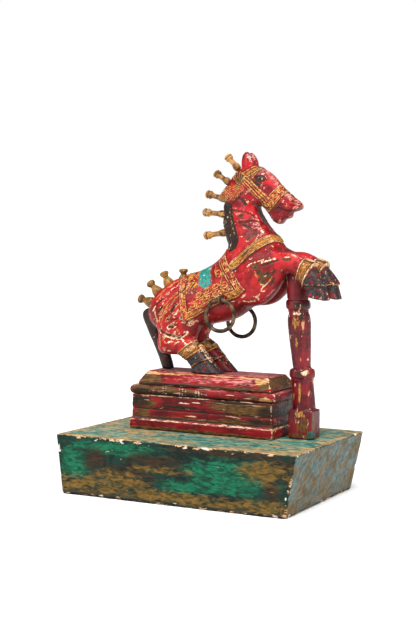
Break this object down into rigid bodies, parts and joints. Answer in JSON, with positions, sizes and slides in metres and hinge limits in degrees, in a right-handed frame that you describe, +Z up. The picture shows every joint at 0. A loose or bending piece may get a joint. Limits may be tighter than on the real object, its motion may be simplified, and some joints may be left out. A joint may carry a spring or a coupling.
{
  "type": "painted wooden horse figure",
  "caption": "Carved and painted wooden horse, rearing with its forelegs on a turned post, on a stepped plinth and a box base, with pegs in mane and rump and iron rings at the flanks.",
  "frame": {"origin": "centre of the underside of the box base, on the ground", "axes": "+X the way the horse faces, -Y its near side, +Z up"},
  "size_m": [0.4453, 0.3026, 0.587],
  "materials": {
    "crimson_paint": "worn crimson paint over cream ground and brown wood",
    "dark_red_paint": "worn dark red paint on turned wood",
    "teal_paint": "brushed green paint, worn through to wood",
    "ochre_paint": "worn pale ochre paint on turned wood",
    "gold_ochre_paint": "worn gold-yellow paint on turned wood",
    "dark_iron": "dark brown oxidised iron"
  },
  "bodies": {
    "root": {"base_box": "teal_paint", "plinth_block": "crimson_paint", "plinth_board": "crimson_paint", "plinth_slab": "crimson_paint", "support_post": "dark_red_paint", "horse": "crimson_paint", "mane_peg_1": "ochre_paint", "mane_peg_2": "ochre_paint", "mane_peg_3": "ochre_paint", "mane_peg_4": "ochre_paint", "mane_peg_5": "ochre_paint", "rump_peg_1": "gold_ochre_paint", "rump_peg_2": "gold_ochre_paint", "rump_peg_3": "gold_ochre_paint", "rump_peg_4": "gold_ochre_paint", "flank_staple_near": "dark_iron", "flank_staple_far": "dark_iron", "flank_ring_near": "dark_iron", "flank_ring_far": "dark_iron"}
  },
  "joints": []
}
